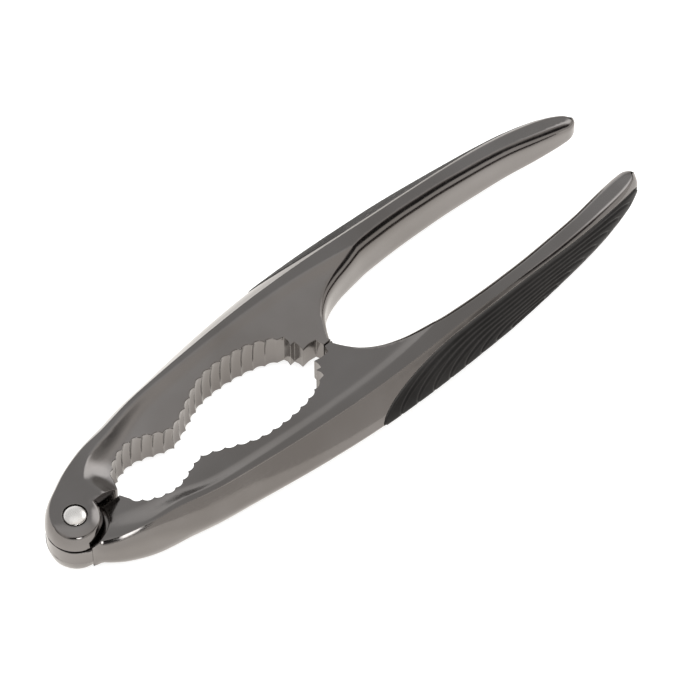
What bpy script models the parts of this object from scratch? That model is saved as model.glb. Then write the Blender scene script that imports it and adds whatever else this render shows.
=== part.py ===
# Two-lever nutcracker: two cast levers on a clevis hinge, a stepped rivet pin and two ridged
# handle grips. The fork lever lies on the +Y side, the tongue lever on the -Y side.
# Frame: origin on the hinge axis at the underside, +X along the levers to the handles,
# +Z along the hinge axis. Dimensions are in millimetres; MM turns them into metres.
# Both levers are drawn on the +Y side; the tongue lever and its grip are then mirrored.
import bpy
import bmesh
import math
from mathutils import Vector
from mathutils.geometry import delaunay_2d_cdt

MM = 0.001

# Lever body
HALF_T = 6.9                 # half thickness at the rim; the mid plane is at z = HALF_T
WEB_0, WEB_SLOPE = 2.88, 0.236   # web half thickness: at the centre line, and gain per mm off it
FILLET_POWER = 2.2           # shape of the rise from web to rim
SPLIT_Y = 0.35               # the jaw face next to the hinge ends this far from the centre line
TOOTH_DEPTH, TOOTH_POWER = 0.55, 0.8
NEST_CUP = 0.55              # nest walls are cupped by this much at mid thickness
SMALL_TEETH, LARGE_TEETH = 8, 12

# Hinge
HINGE_GAP = 0.3              # clearance of the slot and of the pin's bores
NOSE_R = 6.55                # hinge eye radius
NOSE_BULGE = 1.5
BOSS_R = 7.0                 # the hinge boss keeps its full height out to here
BOSS_FADE, BOSS_POWER = 4.2, 2.6   # how the boss height dies away beyond it
EAR_FALL = 1.0               # the ears slope away towards the gap by this much
EAR_FALL_R, EAR_FALL_RUN = 3.1, 3.4   # the slope's start radius and length
EAR_BLEND, EAR_BLEND_RUN = 0.2, 3.0   # the slope's share at y = 0, and the run in y that adds 1
SHOULDER_R = NOSE_R + 0.5    # concave shoulder of the tongue lever around the ears
SHOULDER_END = 100           # degrees round from the split line where the shoulder runs out
SHOULDER_WALL, MIN_BULGE = 0.25, 0.15   # wall kept behind the shoulder, least side bulge there
END_X = -1.2                 # the tongue lever stops here beside the ears
EYE_LIMIT_X = 4.1            # forward of this the tongue side is held to the ears' outline:
EYE_NOSE = (-3.0, 6.75, 0.33)    # (from x, distance from the hinge axis, gain per mm of x)
EYE_CHEEK = (-0.6, 7.54, 0.87)
TONGUE_RIM, TONGUE_RIM_X, TONGUE_RIM_SLOPE = 0.3, 6.0, 0.07   # rim width limit, grows from this x
TONGUE_T = 2.15              # half thickness of the central tongue
TONGUE_R = NOSE_R - 0.05
TONGUE_SPLIT_Y = SPLIT_Y + 0.3
TONGUE_SIDE_X = 3.4          # the tongue follows the lever's outer side up to here
TONGUE_ROOT = [(5.5, 8.5), (9.0, 4.0), (8.6, TONGUE_SPLIT_Y)]   # buried in the lever
SLOT_T = TONGUE_T + HINGE_GAP    # half width of the slot between the ears
SLOT_R = NOSE_R + HINGE_GAP
SLOT_OPEN_X = -1.4           # the slot is open at the nose from here
SLOT_REACH = 12
BORE_OVERRUN = 1

# Pin
SHANK_R, HEAD_R = 2.0, 2.5
HEAD_T = 1.0
DOME = 0.55                  # height of the dome over the edge's nominal top
DOME_SINK = 0.2              # the dome springs this far below that top
PIN_RECESS = 0.05            # the nominal top lies this far below the lever's face
TAIL_CHAMFER = 0.25

# Grips
GRIP_X0, GRIP_X1 = 67.5, 152.0
GRIP_DEPTH, GRIP_PROUD, GRIP_GAP = 1.0, 0.12, 0.3
POCKET_PROUD = 3.0           # the pocket cutter reaches this far outside the handle
# the grip's edge climbs to GRIP_CREST at GRIP_CREST_X and falls to its tip,
# as two quarter ellipses of these powers
GRIP_CREST, GRIP_CREST_X, GRIP_POWERS = 6.05, 93.0, (2.0, 2.2)
GRIP_MIN_EDGE, GRIP_MIN_HALF = 0.35, 0.3
GRIP_TIP_INSET = 2.5         # the tips draw in by this many times the edge inset
GRIP_END_CROWDING = 0.6      # 0 spaces the stations evenly, 1 crowds them at the tips

# Mesh resolution
RIM_STEP, INNER_STEP = 3.6, 3.6 * 0.9
SAMPLES_PER_TOOTH = 2
LEVELS = 4                   # faces down the lever's side
ROWS = (1.3, 2.6, 4.2, 7.5)  # rows of face points, by distance inside the crease
ROW_STEP = 6.0
ROW_GAP = ROW_STEP * 0.45    # least distance between face points
ARC_STEPS = 10               # along the shoulder; the nose takes twice as many
JAW_END_STEPS = 2
ROUND_SEGMENTS = 24
DOME_STEPS = 3
GRIP_STATIONS, GRIP_LEVELS = 18, 4
SHARP_ANGLE = math.radians(32)

# Plan outline at mid thickness, in order round the lever: (x, distance from the centre line).
# outer side of the hinge eye and jaw
NOSE = [(-6.55, 0), (-6.2, 2.3), (-5.2, 4.3), (-3.6, 6.2), (-1.8, 7.6), (0.8, 9.1),
        (4.1, 10.9), (8.3, 12.7), (12.5, 14.2)]
# edge line where the outer side meets the flat face, behind the nose;
# the side swells out from it by BULGE at mid thickness
EDGE = [(18, 13.0), (26, 14.7), (35, 15.8), (50, 17.1), (65, 17.9), (80, 17.9), (95, 17.3),
        (110, 16.8), (125, 16.0), (137, 14.7), (146, 13.1), (150, 11.9), (152.6, 10.5),
        (153.7, 8.9)]
# inner side of the handle, from the tip back to the waist
INNER = [(153.7, 10.5), (153.0, 9.0), (151.3, 8.2), (149.0, 8.3), (142.0, 9.35), (135.0, 10.6),
         (130.0, 11.2), (125.0, 11.65), (117.0, 12.25), (110.0, 12.5), (104.0, 12.6),
         (98.0, 12.45), (92.5, 12.1), (88.0, 11.2), (83.0, 10.0), (79.0, 8.4), (75.6, 5.8),
         (73.4, 2.6), (72.2, 0.15)]
WAIST = [(72.2, 0.15), (70.2, 0.15), (69.85, 1.1), (69.6, 2.0), (67.7, 2.2), (65.7, 1.85),
         (65.75, 3.1), (65.45, 4.4), (64.2, 4.25), (64.5, 5.4), (64.3, 6.6)]
# tooth tip lines of the two nests, which meet at the cusp
CUSP = (31.0, 4.4)
LARGE_NEST = [(62.6, 7.0), (57.8, 9.1), (52.3, 10.15), (48.3, 10.35), (44.1, 10.0),
              (41.2, 9.1), (38.7, 7.9), (34.0, 5.55), CUSP]
SMALL_NEST = [CUSP, (28.6, 5.0), (24.0, 6.9), (21.5, 7.5), (19.2, 7.25), (16.3, 6.1),
              (14.3, 4.6), (12.9, 2.9)]
JAW_END = (11.9, SPLIT_Y)

# Stations along the lever: (x, value)
# half thickness at the rim
HEIGHT = [(-10, HALF_T), (94, HALF_T), (95, HALF_T), (104, 6.75), (110, 6.55), (116, 6.35),
          (122, 6.1), (128, 5.85), (133, 5.55), (138, 5.15), (143, 4.55), (148, 3.8),
          (152, 2.9), (153.7, 2.3)]
# swell of the outer and inner sides at mid thickness
BULGE = [(-6.55, 1.5), (0, 1.3), (11, 1.8), (18, 2.9), (35, 3.5), (50, 4.3), (70, 5.0),
         (98, 5.4), (110, 5.0), (126, 3.8), (140, 2.9), (153.7, 1.6)]
INNER_BULGE = [(72.2, 0.6), (78, 1.1), (88, 1.8), (98, 2.0), (130, 1.8), (145, 1.6),
               (153.7, 1.5)]
# outer side section: power of the side curve, and how far its top edge is rounded over
# (0 crease, 1 full round)
SIDE_POWER = [(-7, 3), (10, 3), (15, 2.4), (20, 1.7), (35, 1.45), (154, 1.45)]
SIDE_ROUND = [(-7, 0.5), (-3, 0.3), (0, 0), (110, 0), (130, 0.35), (154, 0.8)]
# width of the fillet between rim and web, and of the flat rim outside it
FILLET = [(-7, 6.5), (10, 6.5), (17, 5.2), (30, 3.2), (70, 3.0), (154, 3.0)]
BAND = [(-6, 6.0), (5, 5.2), (8, 3.8), (12, 2.3), (25, 1.2), (45, 1.5), (60, 1.8), (70, 2.1),
        (80, 2.8), (90, 3.8), (100, 5.2), (154, 6)]
# the tongue lever is this much thinner per face at its shoulder
HINGE_DROP = [(-2, 3.6), (0, 3.0), (2, 2.4), (8, 0.9), (13, 0.2), (17, 0.0)]


# ---- curves in plan ----

def clamp01(value):
    return min(max(value, 0.0), 1.0)


def curve(table, x):
    # smooth interpolation through a table of (x, value) stations
    if x <= table[0][0]:
        return table[0][1]
    if x >= table[-1][0]:
        return table[-1][1]
    i = max(k for k in range(len(table) - 1) if table[k][0] <= x)

    def slope(k):
        a, b = table[max(k - 1, 0)], table[min(k + 1, len(table) - 1)]
        return (b[1] - a[1]) / (b[0] - a[0])

    (xa, ya), (xb, yb) = table[i], table[i + 1]
    span = xb - xa
    t = (x - xa) / span
    return ((2 * t ** 3 - 3 * t ** 2 + 1) * ya + (t ** 3 - 2 * t ** 2 + t) * span * slope(i)
            + (3 * t ** 2 - 2 * t ** 3) * yb + (t ** 3 - t ** 2) * span * slope(i + 1))


def path(points, step=None, count=None, fineness=24):
    # centripetal spline through plan points, sampled evenly by arc length:
    # in steps of about `step`, or in exactly `count` steps
    pts = [Vector(p) for p in points]
    extended = [pts[0] * 2 - pts[1]] + pts + [pts[-1] * 2 - pts[-2]]
    fine = []
    for i in range(len(pts) - 1):
        p0, p1, p2, p3 = extended[i:i + 4]
        knots = [0.0]
        for a, b in ((p0, p1), (p1, p2), (p2, p3)):
            knots.append(knots[-1] + max((b - a).length, 1e-6) ** 0.5)
        t0, t1, t2, t3 = knots
        for j in range(fineness):
            t = t1 + (t2 - t1) * j / fineness

            def blend(a, b, ta, tb):
                return a * ((tb - t) / (tb - ta)) + b * ((t - ta) / (tb - ta))

            middle = blend(p1, p2, t1, t2)
            before = blend(blend(p0, p1, t0, t1), middle, t0, t2)
            after = blend(middle, blend(p2, p3, t2, t3), t1, t3)
            fine.append(blend(before, after, t1, t2))
    fine.append(pts[-1])
    run = [0.0]
    for a, b in zip(fine, fine[1:]):
        run.append(run[-1] + (b - a).length)
    count = count or round(run[-1] / step)
    out = []
    k = 0
    for j in range(count + 1):
        distance = run[-1] * j / count
        while k < len(run) - 2 and run[k + 1] < distance:
            k += 1
        share = (distance - run[k]) / max(run[k + 1] - run[k], 1e-9)
        out.append(fine[k].lerp(fine[k + 1], share))
    return out


def normals(pts):
    # unit plan normals, on the left of the direction of travel
    out = []
    for k in range(len(pts)):
        along = pts[min(k + 1, len(pts) - 1)] - pts[max(k - 1, 0)]
        along.normalize()
        out.append(Vector((-along.y, along.x)))
    return out


def arc(radius, start, end, steps):
    # points about the hinge axis, between two angles in radians
    angles = [start + (end - start) * k / steps for k in range(steps + 1)]
    return [(radius * math.cos(a), radius * math.sin(a)) for a in angles]


def inside(p, poly):
    hit = False
    for a, b in zip(poly, poly[-1:] + poly[:-1]):
        if (a.y > p.y) != (b.y > p.y) and p.x < (b.x - a.x) * (p.y - a.y) / (b.y - a.y) + a.x:
            hit = not hit
    return hit


def crease_line():
    # plan line where the outer side meets the flat face
    pts = path(OUTER, 0.5)
    return [p - n * curve(BULGE, p.x) for p, n in zip(pts, normals(pts))]


OUTER = NOSE + [(x, y + curve(BULGE, x)) for x, y in EDGE]
CREASE = crease_line()


# ---- lever surface ----

def half_height(x, y, style):
    # half thickness over the plan: flat rim and hinge boss, hollow fillet, wedge-shaped web
    top = curve(HEIGHT, x)
    if style == "tongue":
        top -= curve(HINGE_DROP, x)
    r = math.hypot(x, y)
    if style == "fork" and (r < BOSS_R or y < 0):
        outward = clamp01((r - EAR_FALL_R) / EAR_FALL_RUN)
        return top - EAR_FALL * outward * clamp01(EAR_BLEND - y / EAR_BLEND_RUN)
    web = min(WEB_0 + WEB_SLOPE * abs(y), top)
    p = Vector((x, abs(y)))
    nearby = 14   # only crease points this close in x can be the nearest
    to_crease = min((p - c).length for c in CREASE if abs(c.x - x) < nearby)
    return web + (top - web) * rise(x, r, to_crease, style)


def rise(x, r, to_crease, style):
    # how far the surface has risen from the web (0) to the rim (1)
    band = curve(BAND, x)
    if style == "tongue":
        band = min(band, TONGUE_RIM + max(x - TONGUE_RIM_X, 0.0) * TONGUE_RIM_SLOPE)
        boss = 0.0
    else:
        boss = 1 / (1 + (max(r - BOSS_R, 0.0) / BOSS_FADE) ** BOSS_POWER)
    u = clamp01((to_crease - band) / curve(FILLET, x))
    return 1 - (1 - (1 - u) ** FILLET_POWER) * (1 - boss)


def side_back(kind, x, s):
    # how far the side lies inside its mid-thickness outline, as a part of the bulge,
    # at height s = -1..1
    s = min(abs(s), 1.0)
    if kind == "outer":
        power, rounding = curve(SIDE_POWER, x), curve(SIDE_ROUND, x)
    else:
        power, rounding = {"inner": (6.0, 0.0), "eye": (2.6, 0.6)}[kind]
    return rounding * (1 - math.sqrt(1 - s * s)) + (1 - rounding) * s ** power


def section(kind, x, height, bulge):
    # side section from the top edge to the bottom edge:
    # (outward offset from the mid-thickness outline, z over the mid plane)
    out = []
    for j in range(LEVELS + 1):
        s = 1 - 2 * j / LEVELS
        if kind == "hollow":
            offset = -bulge * (1 - s * s)
        else:
            s = math.sin(math.pi / 2 * s)
            offset = -bulge * side_back(kind, x, s)
        out.append((offset, height * s))
    return out


# ---- lever outline: samples of (point, outward normal, kind of side, bulge or hollow) ----

def eye_limit(p):
    # keeps the tongue side flush with the round ears near the nose
    if p.x > EYE_LIMIT_X:
        return p
    start, distance, gain = EYE_NOSE if p.x < EYE_CHEEK[0] else EYE_CHEEK
    return p * min(1.0, (distance + max(p.x - start, 0.0) * gain) / p.length)


def outer_side(style):
    outer = path(OUTER, RIM_STEP)
    if style == "fork":
        return [(p, n, "outer", curve(BULGE, p.x))
                for p, n in zip(outer, normals(outer)) if p.y > 0.0]
    first = next(p for p in path(OUTER, 0.1) if p.x > END_X)
    outer = [first] + [p for p in outer if p.x > END_X + RIM_STEP * 0.4]
    rim = []
    for p, n in zip(outer, normals(outer)):
        q = eye_limit(p)
        room = q.y - math.sqrt(max(SHOULDER_R ** 2 - q.x ** 2, 0.0)) - SHOULDER_WALL
        rim.append((q, n, "outer", min(curve(BULGE, p.x), max(room, MIN_BULGE))))
    return rim


def nest_side(table, teeth):
    pts = path(table, count=teeth * SAMPLES_PER_TOOTH)
    rim = []
    for k, (p, n) in enumerate(zip(pts, normals(pts))):
        phase = (k % SAMPLES_PER_TOOTH) / SAMPLES_PER_TOOTH
        depth = TOOTH_DEPTH * math.sin(math.pi * phase) ** TOOTH_POWER
        rim.append((p - n * depth, n, "hollow", NEST_CUP))
    return rim


def jaw_end_side():
    a, b = Vector(SMALL_NEST[-1]), Vector(JAW_END)
    along = (b - a).normalized()
    normal = Vector((-along.y, along.x))
    return [(a.lerp(b, k / JAW_END_STEPS), normal, "hollow", 0.0)
            for k in range(1, JAW_END_STEPS + 1)]


def hinge_side(style):
    if style == "fork":
        around = arc(1.0, math.asin(SPLIT_Y / NOSE_R), -math.pi, ARC_STEPS * 2)
        return [(d * NOSE_R, d, "eye", NOSE_BULGE) for d in map(Vector, around)]
    start = math.asin(SPLIT_Y / SHOULDER_R)
    around = arc(1.0, start, math.radians(SHOULDER_END), ARC_STEPS)
    return [(d * SHOULDER_R, -d, "hollow", 0.0) for d in map(Vector, around)]


def outline(style):
    # closed plan outline of a lever
    inner = path(INNER, INNER_STEP)
    rim = outer_side(style)
    rim += [(p, n, "inner", curve(INNER_BULGE, p.x))
            for p, n in list(zip(inner, normals(inner)))[1:-1]]
    rim += [(Vector(p), Vector((0, -1)), "hollow", 0.0) for p in WAIST]
    rim += nest_side(LARGE_NEST, LARGE_TEETH)[:-1]
    rim += nest_side(SMALL_NEST, SMALL_TEETH)
    return rim + jaw_end_side() + hinge_side(style)


# ---- meshes ----

def smooth(mesh):
    mesh.shade_smooth()
    mesh.set_sharp_from_angle(angle=SHARP_ANGLE)


def finish_mesh(bm, name):
    bmesh.ops.recalc_face_normals(bm, faces=bm.faces)
    mesh = bpy.data.meshes.new(name)
    bm.to_mesh(mesh)
    bm.free()
    obj = bpy.data.objects.new(name, mesh)
    bpy.context.collection.objects.link(obj)
    smooth(mesh)
    return obj


def add_vert(bm, x, y, z):
    return bm.verts.new((x * MM, y * MM, z * MM))


def face_points(tops):
    # points inside the face, in rows parallel to the crease so the fillet is followed closely
    crease = path(CREASE[::8], ROW_STEP)
    found = []
    for inset in ROWS:
        for c, n in zip(crease, normals(crease)):
            p = c - n * inset
            if (inside(p, tops) and min((p - t).length for t in tops) > ROW_GAP * 0.8
                    and all((p - t).length > ROW_GAP for t in found)):
                found.append(p)
    return found


def lever_mesh(name, style):
    rim = outline(style)
    tops = [p + n * section(kind, p.x, 1.0, bulge)[0][0] for p, n, kind, bulge in rim]
    heights = [half_height(t.x, t.y, style) for t in tops]
    count = len(tops)
    edges = [(k, (k + 1) % count) for k in range(count)]
    # output type 1 keeps only the triangles inside the outline
    verts, _, faces, origins, _, _ = delaunay_2d_cdt(tops + face_points(tops), edges, [], 1, 1e-5)
    where = {i: k for k, sources in enumerate(origins) for i in sources}

    bm = bmesh.new()
    up, down = [], []
    for v, sources in zip(verts, origins):
        on_rim = sources and sources[0] < count
        h = heights[sources[0]] if on_rim else half_height(v.x, v.y, style)
        up.append(add_vert(bm, v.x, v.y, HALF_T + h))
        down.append(add_vert(bm, v.x, v.y, HALF_T - h))
    for f in faces:
        bm.faces.new([up[i] for i in f])
        bm.faces.new([down[i] for i in reversed(f)])

    rings = []
    for k, (p, n, kind, bulge) in enumerate(rim):
        between = [add_vert(bm, p.x + n.x * offset, p.y + n.y * offset, HALF_T + z)
                   for offset, z in section(kind, p.x, heights[k], bulge)[1:-1]]
        rings.append([up[where[k]]] + between + [down[where[k]]])
    for a, b in zip(rings, rings[1:] + rings[:1]):
        for j in range(LEVELS):
            bm.faces.new([a[j], a[j + 1], b[j + 1], b[j]])
    bmesh.ops.triangulate(bm, faces=bm.faces)
    return finish_mesh(bm, name)


def prism(name, poly, z0, z1):
    # straight-sided solid over a plan polygon
    bm = bmesh.new()
    face = bm.faces.new([add_vert(bm, x, y, z0) for x, y in poly])
    out = bmesh.ops.extrude_face_region(bm, geom=[face])
    top = [g for g in out["geom"] if isinstance(g, bmesh.types.BMVert)]
    bmesh.ops.translate(bm, verts=top, vec=(0, 0, (z1 - z0) * MM))
    return finish_mesh(bm, name)


def combine(obj, other, operation="DIFFERENCE"):
    mod = obj.modifiers.new(other.name, "BOOLEAN")
    mod.operation = operation
    mod.solver = "EXACT"
    mod.object = other


def apply_all(obj):
    # bakes the modifiers and welds the slivers they leave
    dep = bpy.context.evaluated_depsgraph_get()
    mesh = bpy.data.meshes.new_from_object(obj.evaluated_get(dep))
    obj.modifiers.clear()
    obj.data = mesh
    bm = bmesh.new()
    bm.from_mesh(mesh)
    bmesh.ops.remove_doubles(bm, verts=bm.verts, dist=0.002 * MM)
    bmesh.ops.dissolve_degenerate(bm, edges=bm.edges, dist=0.001 * MM)
    bmesh.ops.triangulate(bm, faces=[f for f in bm.faces if len(f.verts) > 4])
    bm.to_mesh(mesh)
    bm.free()
    smooth(mesh)


def mirror_y(obj):
    bm = bmesh.new()
    bm.from_mesh(obj.data)
    bmesh.ops.scale(bm, vec=(1, -1, 1), verts=bm.verts)
    bmesh.ops.reverse_faces(bm, faces=bm.faces)
    bm.to_mesh(obj.data)
    bm.free()


# ---- grips ----

def grip_top(x):
    # how far the grip's edge stands over the mid plane
    if x > GRIP_CREST_X:
        end, power = GRIP_X1, GRIP_POWERS[1]
    else:
        end, power = GRIP_X0, GRIP_POWERS[0]
    t = clamp01((x - end) / (GRIP_CREST_X - end))
    return max(GRIP_CREST * (1 - (1 - t) ** power) ** (1 / power), GRIP_MIN_EDGE)


def outer_point(x, z, offset):
    # point on the outer side of a handle at height z over the mid plane, moved outwards
    reach = 0.5
    fall = (curve(OUTER, x - reach) - curve(OUTER, x + reach)) / (2 * reach)
    normal = Vector((fall, 1.0)).normalized()
    back = curve(BULGE, x) * side_back("outer", x, z / curve(HEIGHT, x))
    return Vector((x, curve(OUTER, x))) + normal * (offset - back)


def grip_mesh(name, inset, low, high):
    # leaf-shaped pad that follows the outer side of the handle between two offsets
    bm = bmesh.new()
    x0 = GRIP_X0 + inset * GRIP_TIP_INSET
    x1 = GRIP_X1 - inset * GRIP_TIP_INSET
    rings = []
    for i in range(GRIP_STATIONS + 1):
        t = i / GRIP_STATIONS
        eased = 0.5 - 0.5 * math.cos(math.pi * t)
        share = eased * GRIP_END_CROWDING + t * (1 - GRIP_END_CROWDING)
        x = x0 + (x1 - x0) * share
        edge = grip_top(GRIP_X0 + (GRIP_X1 - GRIP_X0) * share)
        half = max(edge - inset, GRIP_MIN_HALF)
        columns = []
        for offset in (high, low):
            column = []
            for j in range(GRIP_LEVELS + 1):
                z = half * (1 - 2 * j / GRIP_LEVELS)
                p = outer_point(x, z, offset)
                column.append(add_vert(bm, p.x, p.y, HALF_T + z))
            columns.append(column)
        rings.append(columns[0] + columns[1][::-1])
    size = len(rings[0])
    for a, b in zip(rings, rings[1:]):
        for j in range(size):
            following = (j + 1) % size
            bm.faces.new([a[j], a[following], b[following], b[j]])
    bm.faces.new(rings[0])
    bm.faces.new(rings[-1][::-1])
    bmesh.ops.triangulate(bm, faces=[f for f in bm.faces if len(f.verts) > 4])
    return finish_mesh(bm, name)


def grip(name):
    return grip_mesh(name, GRIP_GAP, -GRIP_DEPTH, GRIP_PROUD)


# ---- hinge ----

def slot_plan():
    # the slot between the ears: round about the hinge axis, and open at the nose
    half = math.acos(SLOT_OPEN_X / SLOT_R)
    return ([(-SLOT_REACH, -SLOT_REACH), (SLOT_OPEN_X, -SLOT_REACH)]
            + arc(SLOT_R, -half, half, ROUND_SEGMENTS * 2)
            + [(SLOT_OPEN_X, SLOT_REACH), (-SLOT_REACH, SLOT_REACH)])


def bore(name, radius, z0, z1):
    return prism(name, arc(radius, 0.0, 2 * math.pi, ROUND_SEGMENTS)[:-1], z0, z1)


def bore_cutters():
    # through hole for the shank, then a counterbore in each face for the heads
    bottom, top = -BORE_OVERRUN, 2 * HALF_T + BORE_OVERRUN
    head_r, head_t = HEAD_R + HINGE_GAP, HEAD_T + HINGE_GAP
    return [bore("cut_shank", SHANK_R + HINGE_GAP, bottom, top),
            bore("cut_head_top", head_r, 2 * HALF_T - head_t, top),
            bore("cut_head_low", head_r, bottom, head_t)]


def tongue_plan():
    # just inside the lever's outer side, through the root, then round the hinge eye
    poly = []
    for p in path(OUTER, 0.9):
        if p.x < TONGUE_SIDE_X:
            q = eye_limit(p)
            shrink = 0.955 if q.x > END_X - 0.4 else 0.995
            poly.append((q.x * shrink, q.y * shrink))
    start = math.asin(TONGUE_SPLIT_Y / TONGUE_R)
    return poly + TONGUE_ROOT + arc(TONGUE_R, start, -math.pi, ROUND_SEGMENTS)[:-1]


def build_levers():
    fork = lever_mesh("fork_lever", "fork")
    tongue = lever_mesh("tongue_lever", "tongue")
    pocket = grip_mesh("cut_grip", 0.0, -GRIP_DEPTH - GRIP_GAP, POCKET_PROUD)
    slot = prism("cut_slot", slot_plan(), HALF_T - SLOT_T, HALF_T + SLOT_T)
    bores = bore_cutters()
    for cutter in [slot, pocket] + bores:
        combine(fork, cutter)
    apply_all(fork)
    neck = prism("add_tongue", tongue_plan(), HALF_T - TONGUE_T, HALF_T + TONGUE_T)
    combine(tongue, neck, "UNION")
    combine(tongue, bores[0])
    combine(tongue, pocket)
    apply_all(tongue)
    mirror_y(tongue)
    for helper in [pocket, slot, neck] + bores:
        bpy.data.objects.remove(helper, do_unlink=True)
    return fork, tongue


def pin_mesh(name):
    # stepped rivet turned about the hinge axis: flat riveted tail, shank, domed head
    top = 2 * HALF_T - PIN_RECESS
    profile = [(0.0, 0.0), (HEAD_R - TAIL_CHAMFER, 0.0), (HEAD_R, TAIL_CHAMFER),
               (HEAD_R, HEAD_T), (SHANK_R, HEAD_T),
               (SHANK_R, top - HEAD_T), (HEAD_R, top - HEAD_T)]
    spring, dome = top - DOME_SINK, DOME + DOME_SINK
    for k in range(DOME_STEPS):
        a = math.pi / 2 * k / DOME_STEPS
        profile.append((HEAD_R * math.cos(a), spring + dome * math.sin(a)))
    profile.append((0.0, spring + dome))
    bm = bmesh.new()
    verts = [add_vert(bm, r, 0, z) for r, z in profile]
    edges = [bm.edges.new(pair) for pair in zip(verts, verts[1:])]
    bmesh.ops.spin(bm, geom=verts + edges, cent=(0, 0, 0), axis=(0, 0, 1),
                   angle=2 * math.pi, steps=ROUND_SEGMENTS, use_merge=True)
    bmesh.ops.remove_doubles(bm, verts=bm.verts, dist=0.001 * MM)
    return finish_mesh(bm, name)


# ---- materials ----

def material(name, colour, metallic, roughness):
    mat = bpy.data.materials.new(name)
    mat.use_nodes = True
    inputs = mat.node_tree.nodes["Principled BSDF"].inputs
    inputs["Base Color"].default_value = (*colour, 1.0)
    inputs["Metallic"].default_value = metallic
    inputs["Roughness"].default_value = roughness
    return mat


def gunmetal(name):
    return material(name, colour=(0.16, 0.15, 0.145), metallic=1.0, roughness=0.2)


def bright_steel(name):
    return material(name, colour=(0.62, 0.6, 0.58), metallic=1.0, roughness=0.25)


def black_plastic(name):
    return material(name, colour=(0.015, 0.014, 0.014), metallic=0.0, roughness=0.5)


def paint(obj, mat):
    obj.data.materials.clear()   # the booleans can leave empty slots
    obj.data.materials.append(mat)


# ---- assembly ----

for old in list(bpy.data.objects):
    bpy.data.objects.remove(old, do_unlink=True)

fork_lever, tongue_lever = build_levers()
hinge_pin = pin_mesh("hinge_pin")
fork_grip = grip("fork_grip")
tongue_grip = grip("tongue_grip")
mirror_y(tongue_grip)

paint(fork_lever, gunmetal("gunmetal_plating"))
paint(tongue_lever, gunmetal("gunmetal_plating_tongue"))
paint(hinge_pin, bright_steel("bright_steel"))
paint(fork_grip, black_plastic("black_grip"))
paint(tongue_grip, black_plastic("black_grip_tongue"))

# the tongue lever and its grip turn together about the hinge axis, the world Z axis
swing = bpy.data.objects.new("tongue_side", None)
bpy.context.collection.objects.link(swing)
for piece in (tongue_lever, tongue_grip):
    piece.parent = swing
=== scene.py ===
# Lever nutcracker: two plated castings hinged on a bright pin, with ridged black grips.
# It lies flat on the floor: hinge axis along z at the origin, handles running out along +x.
# The fork lever is on the +y side and the tongue lever on the -y side. Both are shaped on +y
# in millimetres, and the tongue lever and its grip are then mirrored across the centre line.
import bpy
import bmesh
import math
import numpy as np
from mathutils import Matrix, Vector
from mathutils.kdtree import KDTree
from mathutils.geometry import delaunay_2d_cdt


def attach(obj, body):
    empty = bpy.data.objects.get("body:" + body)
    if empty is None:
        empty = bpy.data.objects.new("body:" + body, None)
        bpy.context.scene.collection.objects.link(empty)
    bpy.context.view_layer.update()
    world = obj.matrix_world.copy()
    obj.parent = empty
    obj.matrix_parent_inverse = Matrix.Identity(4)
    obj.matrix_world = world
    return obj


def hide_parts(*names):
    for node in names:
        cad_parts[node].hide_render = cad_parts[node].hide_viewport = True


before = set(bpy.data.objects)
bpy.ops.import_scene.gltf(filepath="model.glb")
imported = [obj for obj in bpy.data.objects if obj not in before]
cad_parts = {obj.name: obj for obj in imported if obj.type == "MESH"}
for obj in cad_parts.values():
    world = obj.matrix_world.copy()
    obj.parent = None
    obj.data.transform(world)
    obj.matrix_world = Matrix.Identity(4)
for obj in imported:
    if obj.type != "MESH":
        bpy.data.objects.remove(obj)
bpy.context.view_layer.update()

# ---------------------------------------------------------------- dimensions, in millimetres
MM = 0.001
HALF_T = 6.9                 # half thickness at the rim; the mid plane is at z = HALF_T
WEB_0, WEB_K = 2.88, 0.236   # web half thickness: WEB_0 + WEB_K * distance from the centre line
FILLET_POWER = 2.2           # power of the hollow fillet between web and rim
BOSS_R = 7.0                 # the fork lever keeps its full height inside this radius
BOSS_FADE, BOSS_POWER = 4.2, 2.6   # reach and power of the fall from that height to the web
NOSE_R = 6.55                # hinge eye radius
EYE_BULGE = 1.5
SPLIT_Y = 0.35               # hinge outlines start this far from the centre line
SHOULDER_R = 7.05            # concave shoulder of the tongue lever around the ears
SHOULDER_END = 100           # degrees round from the split line where the shoulder runs out
END_X = -1.2                 # the tongue lever stops here beside the ears
EAR_FALL = 1.0               # the ears slope away towards -y by this much
TONGUE_T = 2.15              # half thickness of the central tongue
SLOT_T = 2.45                # half width of the slot between the ears
SLOT_R = 6.85
SLOT_MOUTH_X = -1.4          # the slot is cut right through in front of this
SHANK_R, SHANK_HOLE_R = 2.0, 2.3
HEAD_R, HEAD_BORE_R = 2.5, 2.8
HEAD_T, BORE_T = 1.0, 1.3
DOME = 0.55                  # the domed head stands this far over the head's flat level
PIN_EDGE = 0.25              # chamfer of the flat tail
PIN_SINK = 0.05              # the head's flat level lies this far under the rim
DOME_SKIRT = 0.2             # the dome starts this far below that level
TOOTH_DEPTH, TOOTH_POWER = 0.55, 0.8
NEST_CUP = 0.55              # nest walls are cupped by this much at mid thickness
SMALL_TEETH, LARGE_TEETH = 8, 12
EDGE_R = 0.22                # rounding of the cast edges of the teeth, waist and shoulder
GRIP_X0, GRIP_X1 = 67.5, 152.0
GRIP_DEPTH, GRIP_PROUD, GRIP_GAP = 1.0, 0.12, 0.3
GRIP_MIN_TOP = 0.35
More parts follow.
